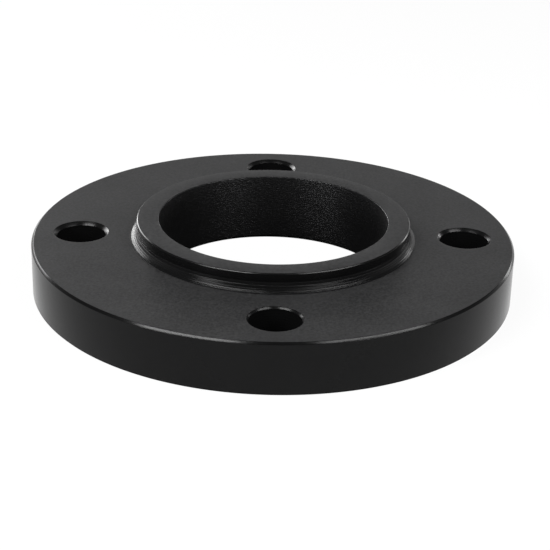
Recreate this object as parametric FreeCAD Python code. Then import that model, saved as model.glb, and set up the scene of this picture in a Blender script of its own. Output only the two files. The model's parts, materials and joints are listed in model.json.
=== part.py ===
"""Slip-on pipe flange with a flat face for 3 inch (DN 80) pipe, turned from one steel forging.

The flange lies on its flat gasket face with the hub up. The origin is on the bore's axis, in the plane of
the gasket face, and the first bolt hole is on +X. All sizes are in millimetres.
"""
import FreeCAD, Part
import math
import os

# Disc
flange_diameter = 190.5
flange_thickness = 20.7
rim_edge_chamfer = 1.1           # both edges of the disc's rim

# Bore, which the pipe slips into before it is welded
pipe_diameter = 88.9
pipe_clearance = 0.9             # all round the pipe
bore_mouth_chamfer = 0.7         # at the hub's end, where the outside weld goes
bore_face_chamfer = 1.5          # at the gasket face, where the inside weld goes
bore_diameter = pipe_diameter + 2 * pipe_clearance

# Hub
hub_wall = 8.65
length_through_hub = 28.1        # from the gasket face to the hub's end
hub_edge_chamfer = 0.7
hub_foot_radius = 3.0            # fillet between the hub and the disc
hub_foot_room = 0.9              # largest share of the hub's wall, or of the way to a bolt hole, that it takes
hub_diameter = bore_diameter + 2 * hub_wall

# Bolt holes, for 5/8 inch bolts
rim_to_bolt_centre = 19.05
bolt_hole_count = 4
bolt_hole_diameter = 19.05
bolt_hole_chamfer = 1.3          # both mouths of each hole
bolt_circle_diameter = flange_diameter - 2 * rim_to_bolt_centre

AXIS = FreeCAD.Vector(0, 0, 1)
CENTRE = FreeCAD.Vector(0, 0, 0)


def in_section(radius, height):
    """A point of the turned section, which lies in the XZ plane."""
    return FreeCAD.Vector(radius, 0, height)


def hub_foot(hub_radius):
    """The fillet's quarter circle, between the hub's wall and the disc, no larger than either leaves room for."""
    wall = length_through_hub - hub_edge_chamfer - flange_thickness
    shelf = (bolt_circle_diameter - bolt_hole_diameter) / 2 - bolt_hole_chamfer - hub_radius
    radius = min(hub_foot_radius, hub_foot_room * wall, hub_foot_room * shelf)
    middle = radius * (1 - math.cos(math.pi / 4))
    start = in_section(hub_radius, flange_thickness + radius)
    through = in_section(hub_radius + middle, flange_thickness + middle)
    end = in_section(hub_radius + radius, flange_thickness)
    return start, through, end


def turned_section():
    """Half of the flange's section as a closed face, to be revolved about the bore's axis."""
    rim = flange_diameter / 2
    hub = hub_diameter / 2
    bore = bore_diameter / 2
    foot_start, foot_through, foot_end = hub_foot(hub)

    bore_and_hub = [
        in_section(bore + bore_face_chamfer, 0),
        in_section(bore, bore_face_chamfer),
        in_section(bore, length_through_hub - bore_mouth_chamfer),
        in_section(bore + bore_mouth_chamfer, length_through_hub),
        in_section(hub - hub_edge_chamfer, length_through_hub),
        in_section(hub, length_through_hub - hub_edge_chamfer),
        foot_start,
    ]
    disc = [
        foot_end,
        in_section(rim - rim_edge_chamfer, flange_thickness),
        in_section(rim, flange_thickness - rim_edge_chamfer),
        in_section(rim, rim_edge_chamfer),
        in_section(rim - rim_edge_chamfer, 0),
        bore_and_hub[0],
    ]
    edges = Part.makePolygon(bore_and_hub).Edges
    edges.append(Part.Arc(foot_start, foot_through, foot_end).toShape())
    edges += Part.makePolygon(disc).Edges
    return Part.Face(Part.Wire(edges))


def bolt_hole():
    """The metal that one bolt hole takes away: the drilled way and the chamfer at each mouth."""
    radius = bolt_hole_diameter / 2
    mouth = radius + bolt_hole_chamfer
    chamfer_start = in_section(0, flange_thickness - bolt_hole_chamfer)
    drilled = Part.makeCylinder(radius, flange_thickness, CENTRE, AXIS)
    lower_mouth = Part.makeCone(mouth, radius, bolt_hole_chamfer, CENTRE, AXIS)
    upper_mouth = Part.makeCone(radius, mouth, bolt_hole_chamfer, chamfer_start, AXIS)
    return drilled.fuse([lower_mouth, upper_mouth])


def bolt_holes():
    """One hole for each bolt, evenly round the bolt circle, the first on +X."""
    holes = []
    for number in range(bolt_hole_count):
        hole = bolt_hole()
        hole.translate(in_section(bolt_circle_diameter / 2, 0))
        hole.rotate(CENTRE, AXIS, 360 * number / bolt_hole_count)
        holes.append(hole)
    return holes


def slip_on_flange():
    """The whole flange as one solid."""
    blank = turned_section().revolve(CENTRE, AXIS, 360)
    return blank.cut(bolt_holes()).removeSplitter()


os.makedirs("parts", exist_ok=True)
slip_on_flange().exportStep("parts/flange.step")
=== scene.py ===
"""Slip-on pipe flange for 3 inch pipe: one steel forging, turned all over, drilled and painted satin black.

It lies on its gasket face with the hub up. Sizes are in metres, and the frame gives the main ones.
"""
import json
import math

import bmesh
import bpy
from mathutils import Matrix, Vector


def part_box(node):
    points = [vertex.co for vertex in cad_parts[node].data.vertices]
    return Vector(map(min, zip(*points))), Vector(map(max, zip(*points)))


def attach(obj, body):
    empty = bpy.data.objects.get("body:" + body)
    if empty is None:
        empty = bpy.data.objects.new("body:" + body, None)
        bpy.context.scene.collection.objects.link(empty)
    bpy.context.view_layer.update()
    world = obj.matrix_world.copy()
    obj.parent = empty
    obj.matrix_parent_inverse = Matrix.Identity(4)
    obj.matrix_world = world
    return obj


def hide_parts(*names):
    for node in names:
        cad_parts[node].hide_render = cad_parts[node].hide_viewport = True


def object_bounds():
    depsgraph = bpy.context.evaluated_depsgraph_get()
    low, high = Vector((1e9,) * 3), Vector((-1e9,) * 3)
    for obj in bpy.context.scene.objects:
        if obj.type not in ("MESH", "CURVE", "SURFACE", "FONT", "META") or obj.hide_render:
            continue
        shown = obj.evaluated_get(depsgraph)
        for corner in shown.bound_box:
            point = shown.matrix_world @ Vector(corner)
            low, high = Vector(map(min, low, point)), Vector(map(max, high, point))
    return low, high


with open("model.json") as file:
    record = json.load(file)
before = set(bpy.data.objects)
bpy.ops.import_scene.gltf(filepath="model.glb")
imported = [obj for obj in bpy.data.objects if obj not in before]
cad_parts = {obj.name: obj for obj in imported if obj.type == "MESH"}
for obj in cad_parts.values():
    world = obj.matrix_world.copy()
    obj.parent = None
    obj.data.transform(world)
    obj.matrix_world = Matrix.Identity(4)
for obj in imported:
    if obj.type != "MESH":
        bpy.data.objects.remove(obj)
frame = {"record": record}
cad_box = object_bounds()


# The flange
# One ring of forged steel, faced, turned and bored in a lathe: disc, low hub, bore and flat gasket face.
# Every edge is chamfered and a little rounded by the paint, and the tool leaves fine rings at the hub's foot.
mm = 0.001
mounts = {mount["name"]: mount for mount in frame["record"]["mounts"]}
flange_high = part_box("flange")[1]

rim_radius = max(flange_high.x, flange_high.y)
hub_end = flange_high.z
disc_top = mounts["nut_face"]["pos_m"][2]
bore_radius = mounts["bore"]["dims"]["r_mm"] * mm
bolt_circle_radius = mounts["bolt_holes"]["dims"]["pcd_mm"] / 2 * mm
bolt_hole_radius = mounts["bolt_holes"]["dims"]["hole_r_mm"] * mm
bolt_hole_count = mounts["bolt_holes"]["dims"]["count"]

hub_wall = 8.65 * mm
hub_radius = bore_radius + hub_wall
rim_chamfer = 0.85 * mm
hub_chamfer = 0.38 * mm
bore_mouth_chamfer = 0.2 * mm
bore_mouth_rounding = 0.24 * mm
bore_face_chamfer = 1.5 * mm
hub_foot_reach = 3.0 * mm
hub_foot_rise = 4.4 * mm
paint_rounding = 0.16 * mm
steps_round = 384
arc_step = 0.12 * mm
least_arc_steps = 4
points_in_groove = 4


def rounded(corners):
    """Points along an outline of (radius, height, rounding) corners, each of which becomes an arc."""
    points = []
    for index, (radius, height, rounding) in enumerate(corners):
        here = Vector((radius, height))
        if rounding == 0 or index in (0, len(corners) - 1):
            points.append(here)
            continue
        back = (Vector(corners[index - 1][:2]) - here).normalized()
        on = (Vector(corners[index + 1][:2]) - here).normalized()
        half = back.angle(on) / 2
        centre = here + (back + on).normalized() * rounding / math.sin(half)
        first = here + back * rounding / math.tan(half) - centre
        last = here + on * rounding / math.tan(half) - centre
        steps = max(least_arc_steps, round(rounding / arc_step))
        for step in range(steps + 1):
            share = step / steps
            points.append(centre + first.normalized().slerp(last.normalized(), share) * rounding)
    return points


def grooved(points, pitch, depth, into):
    """The outline cut again with a round-nosed tool, which leaves scallops in the direction into(point)."""
    run = 0
    cut = [points[0]]
    for start, end in zip(points, points[1:]):
        length = (end - start).length
        pieces = max(1, round(length / pitch * points_in_groove))
        for piece in range(1, pieces + 1):
            point = start.lerp(end, piece / pieces)
            phase = (run + length * piece / pieces) / pitch
            cut.append(point + into(point) * depth * abs(math.sin(math.pi * phase)))
        run += length
    cut[-1] = points[-1]
    return cut


blank = bmesh.new()


def ring(radius, height, centre=(0, 0), steps=steps_round):
    """One circle of points."""
    made = []
    for step in range(steps):
        angle = 2 * math.pi / steps * step
        x = centre[0] + radius * math.cos(angle)
        y = centre[1] + radius * math.sin(angle)
        made.append(blank.verts.new((x, y, height)))
    return made


def turned(outline, centre=(0, 0), steps=steps_round):
    """The surface that an outline sweeps round an upright axis; gives back its first and last circles."""
    rings = [ring(point.x, point.y, centre, steps) for point in outline]
    for inner, outer in zip(rings, rings[1:]):
        for step in range(steps):
            after = (step + 1) % steps
            face = blank.faces.new((inner[step], inner[after], outer[after], outer[step]))
            face.smooth = True
    return rings[0], rings[-1]


# The hub and the gasket face, from the disc's underside through the bore to the disc's upper face
serration_pitch = 0.8 * mm
serration_depth = 0.02 * mm
serration_to_bolt_hole = 3.0 * mm
serrated = grooved(
    [
        Vector((bolt_circle_radius - bolt_hole_radius - serration_to_bolt_hole, 0)),
        Vector((bore_radius + bore_face_chamfer, 0)),
    ],
    serration_pitch, serration_depth, lambda point: Vector((0, 1)),
)
hub_outline = rounded([
    (bore_radius + bore_face_chamfer, 0, 0),
    (bore_radius, bore_face_chamfer, paint_rounding),
    (bore_radius, hub_end - bore_mouth_chamfer, paint_rounding),
    (bore_radius + bore_mouth_chamfer, hub_end, bore_mouth_rounding),
    (hub_radius - hub_chamfer, hub_end, paint_rounding),
    (hub_radius, hub_end - hub_chamfer, paint_rounding),
    (hub_radius, disc_top + hub_foot_rise, 0),
])
foot_steps = 28
foot_arc = [
    Vector((
        hub_radius + hub_foot_reach * (1 - math.cos(math.pi / 2 * step / foot_steps)),
        disc_top + hub_foot_rise * (1 - math.sin(math.pi / 2 * step / foot_steps)),
    ))
    for step in range(foot_steps + 1)
]
foot_centre = Vector((hub_radius + hub_foot_reach, disc_top + hub_foot_rise))
foot_ring_pitch = 1.1 * mm
foot_ring_depth = 0.11 * mm
foot = grooved(foot_arc, foot_ring_pitch, foot_ring_depth, lambda point: (point - foot_centre).normalized())
underside_inner, face_inner = turned(serrated + hub_outline[1:] + foot[1:])

# The disc's rim, between its two faces, with a narrow strip of each
rim_strip = 1.0 * mm
rim_outline = rounded([
    (rim_radius - rim_chamfer - rim_strip, disc_top, 0),
    (rim_radius - rim_chamfer, disc_top, paint_rounding),
    (rim_radius, disc_top - rim_chamfer, paint_rounding),
    (rim_radius, rim_chamfer, paint_rounding),
    (rim_radius - rim_chamfer, 0, paint_rounding),
    (rim_radius - rim_chamfer - rim_strip, 0, 0),
])
face_outer, underside_outer = turned(rim_outline)

# The bolt holes on +X, +Y, -X and -Y, drilled through the disc and chamfered by hand at both mouths, the last
# one less than the others. The drill leaves shallow rings on the wall.
hand_chamfers = (1.15 * mm, 1.15 * mm, 1.3 * mm, 0.7 * mm)
drill_ring_pitch = 1.1 * mm
drill_ring_depth = 0.04 * mm
hole_steps = 96
mouth_rounding = 0.3 * mm
upper_mouth_strip = 0.9 * mm
lower_mouth_strip = 0.5 * mm
plain_wall = 0.5 * mm


def drilled(chamfer):
    """The outline of a hole with that chamfer at both mouths, from the disc's top to its underside."""
    mouth_radius = bolt_hole_radius + chamfer
    upper_mouth = rounded([
        (mouth_radius + upper_mouth_strip, disc_top, 0),
        (mouth_radius, disc_top, mouth_rounding),
        (bolt_hole_radius, disc_top - chamfer, paint_rounding),
        (bolt_hole_radius, disc_top - chamfer - plain_wall, 0),
    ])
    lower_mouth = rounded([
        (bolt_hole_radius, chamfer + plain_wall, 0),
        (bolt_hole_radius, chamfer, paint_rounding),
        (mouth_radius, 0, paint_rounding),
        (mouth_radius + lower_mouth_strip, 0, 0),
    ])
    wall = [upper_mouth[-1], lower_mouth[0]]
    wall = grooved(wall, drill_ring_pitch, drill_ring_depth, lambda point: Vector((1, 0)))
    return upper_mouth + wall[1:] + lower_mouth[1:]


face_circles = [face_inner, face_outer]
underside_circles = [underside_inner, underside_outer]
for number, chamfer in enumerate(hand_chamfers):
    angle = 2 * math.pi * number / bolt_hole_count
    centre = (bolt_circle_radius * math.cos(angle), bolt_circle_radius * math.sin(angle))
    top_circle, bottom_circle = turned(drilled(chamfer), centre, hole_steps)
    face_circles.append(top_circle)
    underside_circles.append(bottom_circle)


def faced(circles, normal):
    """A flat turned face that fills the space between the circles."""
    edges = []
    for circle in circles:
        for here, after in zip(circle, circle[1:] + circle[:1]):
            edges.append(blank.edges.get((here, after)))
    bmesh.ops.triangle_fill(blank, use_beauty=True, edges=edges, normal=normal)


faced(face_circles, (0, 0, 1))
faced(underside_circles, (0, 0, -1))
bmesh.ops.recalc_face_normals(blank, faces=blank.faces)
flange_mesh = bpy.data.meshes.new("flange_body")
blank.to_mesh(flange_mesh)
blank.free()
flange = bpy.data.objects.new("flange_body", flange_mesh)
bpy.context.scene.collection.objects.link(flange)


class Shade:
    """A socket of a material, which can be reckoned with: each operator adds its Math node."""

    def __init__(self, tree, socket=None):
        self.tree = tree
        self.socket = socket

    def node(self, kind, settings=None, inputs=None, output=0):
        """Adds a node of that kind with its settings, then its inputs' values or links; gives one output."""
        made = self.tree.nodes.new(kind)
        for name, value in (settings or {}).items():
            setattr(made, name, value)
        for name, value in (inputs or {}).items():
            if isinstance(value, Shade):
                self.tree.links.new(value.socket, made.inputs[name])
            else:
                made.inputs[name].default_value = value
        return Shade(self.tree, made.outputs[output]) if made.outputs else None

    def math(self, operation, *values):
        """One Math node on numbers or sockets."""
        return self.node("ShaderNodeMath", {"operation": operation}, dict(enumerate(values)))

    def __add__(self, other):
        return self.math("ADD", self, other)

    def __radd__(self, other):
        return self.math("ADD", other, self)

    def __sub__(self, other):
        return self.math("SUBTRACT", self, other)

    def __rsub__(self, other):
        return self.math("SUBTRACT", other, self)

    def __mul__(self, other):
        return self.math("MULTIPLY", self, other)

    def __rmul__(self, other):
        return self.math("MULTIPLY", other, self)

    def __lt__(self, other):
        return self.math("LESS_THAN", self, other)

    def __gt__(self, other):
        return self.math("GREATER_THAN", self, other)


# Satin black paint, thin and speckled grey on the faced surfaces, with the lathe tool's rings under it. The
# grey of the faces and the near black of the walls and edges are partly painted light and shade: the faces
# are made lighter where light falls on them, and the walls darker where they lie in shade. In the bore the
# coat is thinnest, and the dark steel that the boring tool tore shows through it.
paint_black_and_painted_shade = (0.0026, 0.0026, 0.0027, 1)
paint_black_thin_and_painted_shade = (0.0042, 0.0042, 0.0043, 1)
faced_grey_and_painted_light = (0.0100, 0.0100, 0.0102, 1)
faced_grey_thin_and_painted_light = (0.0320, 0.0320, 0.0326, 1)
bored_steel = (0.042, 0.042, 0.043, 1)
paint_ior = 1.21
edge_roughness = 0.17
face_roughness = 0.41
bevel_roughness = 0.22
bore_roughness = 0.38
paint = bpy.data.materials.new("satin_black_paint")
paint.use_nodes = True
paint.node_tree.nodes.clear()
start = Shade(paint.node_tree)
place = start.node("ShaderNodeTexCoord", output="Object")
outward = start.node("ShaderNodeTexCoord", output="Normal")
across = start.node("ShaderNodeVectorMath", {"operation": "MULTIPLY"}, {0: place, 1: (1, 1, 0)})
radius = start.node("ShaderNodeVectorMath", {"operation": "LENGTH"}, {0: across}, output="Value")
height = start.node("ShaderNodeSeparateXYZ", inputs={0: place}, output=2)

lathe_ring_scale = 2200
grain_scale = 1500
torn_scale = 2400
torn_stretch = (0.34, 0.34, 1)
speckle_scale = 1050
cloud_scale = 45
lathe_rings = start.node(
    "ShaderNodeTexNoise", {"noise_dimensions": "1D"},
    {"W": radius - height, "Scale": lathe_ring_scale, "Detail": 2},
)
drawn_out = start.node("ShaderNodeVectorMath", {"operation": "MULTIPLY"}, {0: place, 1: torn_stretch})


def noise(where, scale, detail, roughness):
    """An uneven pattern with about scale spots to the metre, and finer ones within them."""
    pattern = {"Vector": where, "Scale": scale, "Detail": detail, "Roughness": roughness}
    return start.node("ShaderNodeTexNoise", inputs=pattern)


grain = noise(place, grain_scale, detail=3, roughness=0.6)
torn_rings = noise(drawn_out, torn_scale, detail=2, roughness=0.6)
speckle = noise(place, speckle_scale, detail=2, roughness=0.7)
clouds = noise(place, cloud_scale, detail=3, roughness=0.55)

lathe_ring_height = 0.008 * mm
grain_height = 0.008 * mm
torn_ring_height = 0.21 * mm
foot_rings_height = 0.10 * mm
bore_skin = 0.1 * mm
in_bore = radius < bore_radius + bore_skin
on_foot = (radius > hub_radius) * (radius < hub_radius + hub_foot_reach) * (height > disc_top)
relief = (
    lathe_rings * lathe_ring_height + grain * grain_height
    + on_foot * lathe_rings * foot_rings_height + in_bore * torn_rings * torn_ring_height
)
bump = start.node("ShaderNodeBump", inputs={"Height": relief, "Distance": 1, "Strength": 1})

# The faced surfaces, which look straight up or down
nearly_upright = 0.97
upright = start.math("ABSOLUTE", start.node("ShaderNodeSeparateXYZ", inputs={0: outward}, output=2))
faced_flat = start.node(
    "ShaderNodeMapRange", {"interpolation_type": "SMOOTHSTEP"},
    {"Value": upright, "From Min": nearly_upright, "From Max": 1},
)
speckle_weight = 3
mottle_least = 0.31
mottle_most = 0.69
spread = (clouds + speckle * speckle_weight) * (1 / (1 + speckle_weight))
mottle = start.node(
    "ShaderNodeMapRange", inputs={"Value": spread, "From Min": mottle_least, "From Max": mottle_most},
)


def coated(share, first, second):
    """The first colour where share is 0, and the second where it is 1."""
    return start.node("ShaderNodeMix", {"data_type": "RGBA"}, {0: share, 6: first, 7: second}, output=2)


# Painted light and shade, besides the thinner coat: faces that look up or down are grey, walls and edges near
# black
black_and_painted_shade = coated(clouds, paint_black_and_painted_shade, paint_black_thin_and_painted_shade)
grey_and_painted_light = coated(mottle, faced_grey_and_painted_light, faced_grey_thin_and_painted_light)
paint_with_painted_light = coated(faced_flat, black_and_painted_shade, grey_and_painted_light)
colour = coated(in_bore, paint_with_painted_light, bored_steel)

cloud_roughness = 0.08
grain_roughness = 0.06
drilled_reach = bolt_hole_radius + max(hand_chamfers)
on_bolt_circle = (radius > bolt_circle_radius - drilled_reach) * (radius < bolt_circle_radius + drilled_reach)
drilled_edge = on_bolt_circle * (1 - faced_flat)
roughness = (
    edge_roughness
    + faced_flat * (face_roughness - edge_roughness)
    + in_bore * (bore_roughness - edge_roughness)
    + drilled_edge * (bevel_roughness - edge_roughness)
    + (clouds - 0.5) * cloud_roughness
    + (grain - 0.5) * grain_roughness
)
shader = start.node("ShaderNodeBsdfPrincipled", inputs={
    "Base Color": colour, "Roughness": roughness, "Metallic": in_bore, "Normal": bump, "IOR": paint_ior,
})
start.node("ShaderNodeOutputMaterial", inputs={"Surface": shader})
flange_mesh.materials.append(paint)

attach(flange, "root")
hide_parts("flange")


# The floor
# A plain white studio floor that the flange lies on. It isn't part of the object, and doesn't hide or darken
# the flange's underside in a view from below. Within the rim's radius it carries a painted shadow: it is dark
# for light and reflections, though the camera sees it white.
floor_half = 4.0
floor_gap = 0.05 * mm
floor_white = 0.86
painted_shadow_under_flange = 0.04
floor_plainness = 0.9
underside_reach = 0.2 * mm
floor_height = cad_box[0].z - floor_gap
floor_mesh = bpy.data.meshes.new("floor")
floor_mesh.from_pydata(
    [(x * floor_half, y * floor_half, floor_height) for x, y in ((-1, -1), (1, -1), (1, 1), (-1, 1))],
    [], [(0, 1, 2, 3)],
)
floor = bpy.data.objects.new("floor", floor_mesh)
bpy.context.scene.collection.objects.link(floor)
floor_paper = bpy.data.materials.new("floor_paper")
floor_paper.use_nodes = True
floor_paper.node_tree.nodes.clear()
start = Shade(floor_paper.node_tree)
camera_ray = start.node("ShaderNodeLightPath", output="Is Camera Ray")
glossy_ray = start.node("ShaderNodeLightPath", output="Is Glossy Ray")
clear_ray = start.node("ShaderNodeLightPath", output="Is Transmission Ray")
place = start.node("ShaderNodeTexCoord", output="Object")
reach = start.node("ShaderNodeVectorMath", {"operation": "LENGTH"}, {0: place}, output="Value")
clear_of_flange = reach > rim_radius
view_ray = camera_ray + glossy_ray + clear_ray
seen = view_ray * clear_of_flange * floor_plainness + camera_ray * (1 - clear_of_flange)
# Painted shadow: within the rim's radius the floor is nearly black, standing in for the shade under the
# flange
brightness = painted_shadow_under_flange + clear_of_flange * (floor_white - painted_shadow_under_flange)
lit = start.node("ShaderNodeBsdfDiffuse", inputs={"Color": brightness})
plain = start.node("ShaderNodeEmission", inputs={"Color": (1, 1, 1, 1), "Strength": 1})
paper = start.node("ShaderNodeMixShader", inputs={0: seen, 1: lit, 2: plain})
from_below = start.node("ShaderNodeNewGeometry", output="Backfacing")
ray_length = start.node("ShaderNodeLightPath", output="Ray Length")
passed = start.math("MAXIMUM", from_below, ray_length < underside_reach)
nothing = start.node("ShaderNodeBsdfTransparent")
surface = start.node("ShaderNodeMixShader", inputs={0: passed, 1: paper, 2: nothing})
start.node("ShaderNodeOutputMaterial", inputs={"Surface": surface})
floor_mesh.materials.append(floor_paper)


# The studio
# White near the floor, darker above and dimmer in front, with two long soft lamps over the flange's left and
# right, two smaller ones low in front, and a window at each side behind.
world = bpy.data.worlds.new("studio")
bpy.context.scene.world = world
world.use_nodes = True
world.node_tree.nodes.clear()
start = Shade(world.node_tree)
direction = start.node("ShaderNodeTexCoord", output="Generated")
up = start.node("ShaderNodeSeparateXYZ", inputs={0: direction}, output=2)
wall_top = math.sin(math.radians(10))
ceiling_start = math.sin(math.radians(29))
ceiling_light = 0.12
front_light = 0.3
front_end = -0.5
back_start = 0.3
wall = start.node(
    "ShaderNodeMapRange", {"interpolation_type": "SMOOTHSTEP"},
    {"Value": up, "From Min": wall_top, "From Max": ceiling_start, "To Min": 1, "To Max": ceiling_light},
)
backward = start.node("ShaderNodeSeparateXYZ", inputs={0: direction}, output=1)
dim_front = start.node(
    "ShaderNodeMapRange", {"interpolation_type": "SMOOTHSTEP"},
    {"Value": backward, "From Min": front_end, "From Max": back_start, "To Min": front_light, "To Max": 1},
)
camera_ray = start.node("ShaderNodeLightPath", output="Is Camera Ray")
brightness = camera_ray + (1 - camera_ray) * wall * dim_front
studio = start.node("ShaderNodeBackground", inputs={"Color": (1, 1, 1, 1), "Strength": brightness})
start.node("ShaderNodeOutputWorld", inputs={"Surface": studio})

lamp_distance = 0.9


def soft_lamp(name, toward, along, length, width, power):
    """A long soft lamp that hangs in the direction toward, its length along the direction along."""
    light = bpy.data.lights.new(name, "AREA")
    light.shape = "RECTANGLE"
    light.size = length
    light.size_y = width
    light.energy = power
    lamp = bpy.data.objects.new(name, light)
    back = Vector(toward).normalized()
    side = (Vector(along) - back * back.dot(Vector(along))).normalized()
    turn = Matrix((side, back.cross(side), back)).transposed()
    lamp.matrix_world = Matrix.Translation(back * lamp_distance) @ turn.to_4x4()
    lamp.visible_camera = False
    bpy.context.scene.collection.objects.link(lamp)


soft_lamp("left_lamp", (-0.45, -0.37, 0.81), (-0.40, 0.25, -0.12), length=0.54, width=0.12, power=6.4)
soft_lamp("right_lamp", (0.53, -0.30, 0.79), (0.47, 0.36, -0.18), length=0.60, width=0.12, power=4.2)
soft_lamp("low_left_lamp", (-0.71, -0.55, 0.44), (0.60, -0.75, 0), length=0.22, width=0.32, power=3.0)
soft_lamp("low_right_lamp", (0.60, -0.65, 0.46), (0.70, 0.65, 0), length=0.22, width=0.32, power=2.4)
soft_lamp("left_window", (-0.59, 0.77, 0.25), (-0.34, -0.36, 0.30), length=0.62, width=0.24, power=4.0)
soft_lamp("right_window", (0.71, 0.66, 0.23), (0.66, -0.75, 0), length=0.16, width=0.20, power=0.6)


# The camera
# It looks down on the flange from the front, as in the photograph, whose picture is picture_side pixels wide.
picture_side = 550
camera_distance = 0.626
camera_elevation = math.radians(23.5)
camera_azimuth = math.radians(-1.16)
camera_roll = math.radians(1.44)
focal_pixels = 1566
centre_pixel = (272.7, 251.6)
aim = Vector((0, 0, 0.0134))
sensor_width = 36.0

camera_data = bpy.data.cameras.new("camera")
camera_data.sensor_width = sensor_width
camera_data.lens = sensor_width * focal_pixels / picture_side
camera_data.shift_x = 0.5 - centre_pixel[0] / picture_side
camera_data.shift_y = centre_pixel[1] / picture_side - 0.5
camera = bpy.data.objects.new("camera", camera_data)
bpy.context.scene.collection.objects.link(camera)
camera_right = Vector((1, 0, 0))
camera_up = Vector((0, math.sin(camera_elevation), math.cos(camera_elevation)))
camera_back = Vector((0, -math.cos(camera_elevation), math.sin(camera_elevation)))
level_turn = Matrix((camera_right, camera_up, camera_back)).transposed()
round_flange = Matrix.Rotation(camera_azimuth, 3, "Z")
camera_turn = round_flange @ level_turn @ Matrix.Rotation(camera_roll, 3, "Z")
camera_place = aim + round_flange @ camera_back * camera_distance
camera.matrix_world = Matrix.Translation(camera_place) @ camera_turn.to_4x4()
bpy.context.scene.camera = camera
bpy.context.scene.view_settings.view_transform = "Standard"
